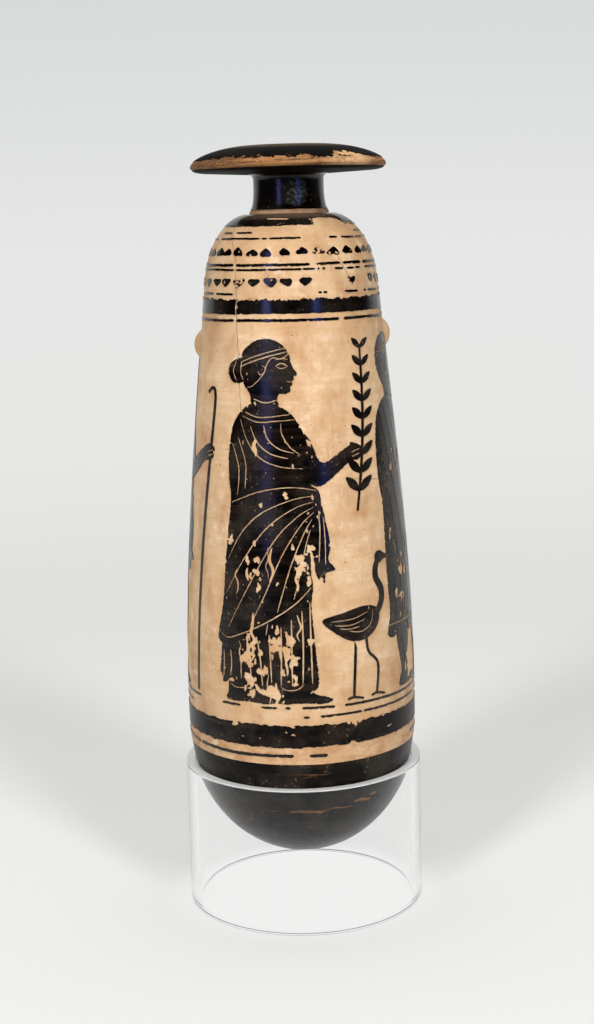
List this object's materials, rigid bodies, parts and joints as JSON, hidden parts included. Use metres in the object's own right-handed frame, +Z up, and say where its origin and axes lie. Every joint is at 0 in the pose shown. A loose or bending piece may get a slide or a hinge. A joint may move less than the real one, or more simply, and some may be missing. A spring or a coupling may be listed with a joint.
{
  "type": "alabastron",
  "caption": "Tall round-based oil flask with a narrow bored neck, disc mouth and small lugs, in white ground and black gloss, seated in a clear ring stand.",
  "frame": {"origin": "centre of the clear ring's foot, on the surface that the ring stands on", "axes": "+Z up along the flask's axis; the lugs lie on the X axis, so -Y is the front with one lug at each side"},
  "size_m": [0.06, 0.06, 0.1901],
  "materials": {
    "clear_acrylic": "polished",
    "clay": "matte",
    "white_ground": "satin",
    "black_gloss": "gloss"
  },
  "bodies": {
    "stand": {"display_ring": "clear_acrylic"},
    "flask": {"base_bowl": "clay", "body_wall": "clay", "shoulder": "clay", "neck": "clay", "mouth_disc": "clay", "left_lug": "white_ground", "right_lug": "white_ground", "white_ground": "white_ground", "base_gloss": "black_gloss", "foot_line": "black_gloss", "lower_band": "black_gloss", "ground_lines": "black_gloss", "broad_band": "black_gloss", "band_lines": "black_gloss", "lower_berries": "black_gloss", "middle_lines": "black_gloss", "upper_berries": "black_gloss", "shoulder_lines": "black_gloss", "shoulder_gloss": "black_gloss", "neck_gloss": "black_gloss", "mouth_top_gloss": "black_gloss", "mouth_under_gloss": "black_gloss"}
  },
  "joints": [
    {"name": "lift_out", "type": "slide", "parent": "stand", "child": "flask", "axis": [0, 0, 1], "range_m": [0, 0.05]}
  ]
}
